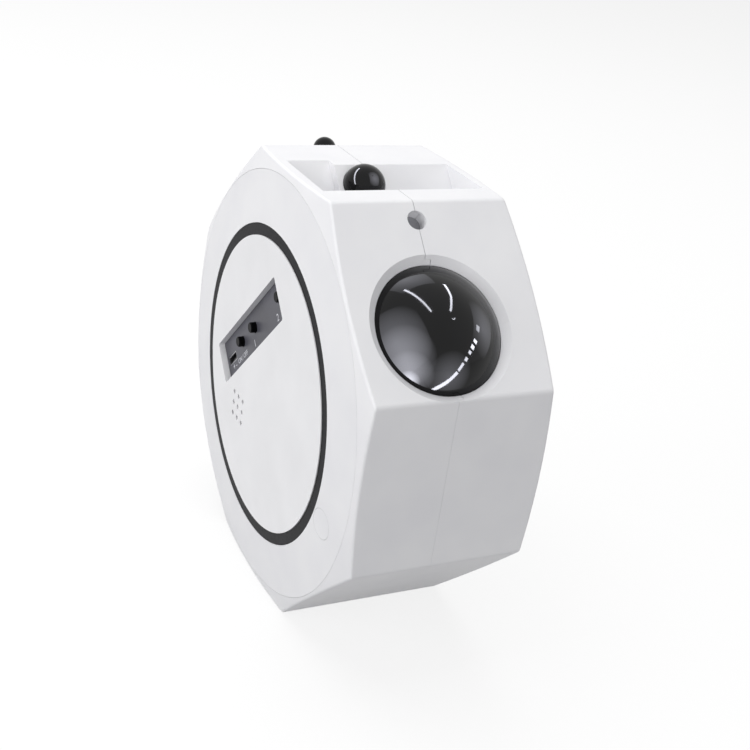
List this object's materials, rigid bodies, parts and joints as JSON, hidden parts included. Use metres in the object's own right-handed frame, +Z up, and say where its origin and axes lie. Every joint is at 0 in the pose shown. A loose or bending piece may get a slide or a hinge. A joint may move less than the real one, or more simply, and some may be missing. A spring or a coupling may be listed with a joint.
{
  "type": "planetarium projector",
  "caption": "Eight-sided upright night-sky projector with a large dark dome, a star dome in a top notch, side discs and a recessed control panel.",
  "frame": {"origin": "on the bottom facet, half way across the width and under the middle of the wheel", "axes": "+X to the projector's right, -Y to its front, where the main dome looks, +Z up"},
  "size_m": [0.0684, 0.15, 0.152],
  "materials": {
    "aluminium": "satin",
    "black_button": "satin",
    "black_dome": "gloss",
    "board_green": "satin",
    "brass": "satin",
    "chip_black": "matte",
    "clear_lens": "gloss",
    "dark_plate": "matte",
    "dark_ring": "satin",
    "emitter_yellow": "satin",
    "inner_black": "matte",
    "nebula_film": "gloss",
    "paper_cone": "matte",
    "smoked_window": "satin",
    "steel": "satin",
    "wheel_white": "satin",
    "white_cover": "satin",
    "white_shell": "satin"
  },
  "bodies": {
    "root": {"axle_clip": "steel", "board_screws": "steel", "bracket_screws": "steel", "button_switches": "chip_black", "circuit_parts": "chip_black", "clamp_screws": "steel", "condenser_lens": "clear_lens", "control_disc": "white_cover", "control_plate": "dark_plate", "cover_screw": "steel", "dome_screws": "steel", "eye_window": "smoked_window", "frame_screws": "steel", "grating_motor": "aluminium", "heat_sink": "aluminium", "lamp_board": "aluminium", "lamp_emitters": "emitter_yellow", "laser_barrel": "brass", "laser_bracket": "inner_black", "left_ring": "dark_ring", "left_shell": "white_shell", "left_side_cover": "white_cover", "lens_barrel": "inner_black", "main_board": "board_green", "main_dome": "black_dome", "optics_frame": "inner_black", "power_socket": "steel", "projection_lens": "clear_lens", "rear_dome": "black_dome", "rear_lamp": "brass", "receiver_board": "board_green", "receiver_sensor": "chip_black", "right_disc": "white_cover", "right_ring": "dark_ring", "right_shell": "white_shell", "right_side_cover": "white_cover", "screw_plug": "white_cover", "shell_screws": "steel", "socket_tongue": "chip_black", "speaker_cone": "paper_cone", "speaker_frame": "steel", "speaker_magnet": "steel", "star_dome": "black_dome", "star_dome_clamp": "inner_black", "wheel_axle": "steel", "wheel_motor": "aluminium"},
    "power_button": {"power_button": "black_button"},
    "light_button": {"light_button": "black_button"},
    "mode_button": {"mode_button": "black_button"},
    "cloud_wheel": {"cloud_wheel": "wheel_white", "nebula_disc": "nebula_film"},
    "motor_pinion": {"motor_pinion": "wheel_white"},
    "grating_wheel": {"grating_wheel": "clear_lens"}
  },
  "joints": [
    {"name": "power_button_press", "type": "slide", "parent": "root", "child": "power_button", "axis": [1, 0, 0], "range_m": [0, 0.0006], "stiffness_N_per_m": 400},
    {"name": "light_button_press", "type": "slide", "parent": "root", "child": "light_button", "axis": [1, 0, 0], "range_m": [0, 0.0006], "stiffness_N_per_m": 400},
    {"name": "mode_button_press", "type": "slide", "parent": "root", "child": "mode_button", "axis": [1, 0, 0], "range_m": [0, 0.0006], "stiffness_N_per_m": 400},
    {"name": "cloud_wheel_spin", "type": "hinge", "parent": "root", "child": "cloud_wheel", "pos_m": [-0.00085, -0.03445, 0.11607], "axis": [0, -0.7071, 0.7071], "continuous": true},
    {"name": "motor_pinion_spin", "type": "hinge", "parent": "root", "child": "motor_pinion", "pos_m": [-0.00085, -0.05566, 0.09486], "axis": [0, -0.7071, 0.7071], "continuous": true},
    {"name": "grating_wheel_spin", "type": "hinge", "parent": "root", "child": "grating_wheel", "pos_m": [0.00525, 0.0091, 0.13642], "axis": [0, -0.7071, 0.7071], "continuous": true}
  ],
  "couplings": [
    {"joint": "motor_pinion_spin", "follows": "cloud_wheel_spin", "ratio": -4}
  ]
}
